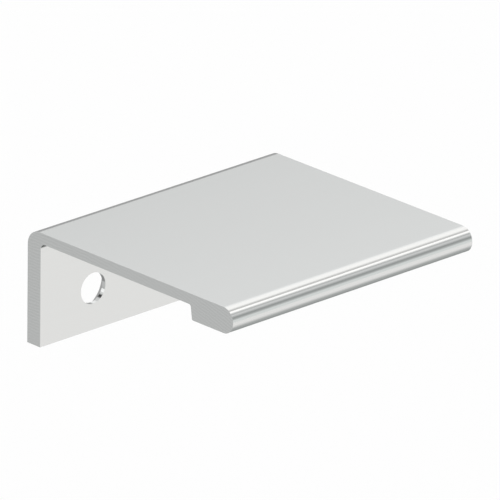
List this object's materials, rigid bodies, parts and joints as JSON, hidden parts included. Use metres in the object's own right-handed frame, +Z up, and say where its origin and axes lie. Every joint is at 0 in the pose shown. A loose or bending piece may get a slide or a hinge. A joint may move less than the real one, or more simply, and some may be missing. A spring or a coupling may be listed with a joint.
{
  "type": "tab pull",
  "caption": "L-shaped edge pull: its flange screws to the back of a door or drawer front, its flat plate lies over the edge, and a round-nosed lip gives the fingers a hold.",
  "frame": {"origin": "midway between the screw holes, on the flange face that meets the back of the door", "axes": "+X along the length of the profile, -Y from the flange towards the finger lip, +Z up"},
  "size_m": [0.0508, 0.0461, 0.019],
  "materials": {
    "bright_aluminium": "bright polished"
  },
  "bodies": {
    "root": {"pull_body": "bright_aluminium"}
  },
  "joints": []
}
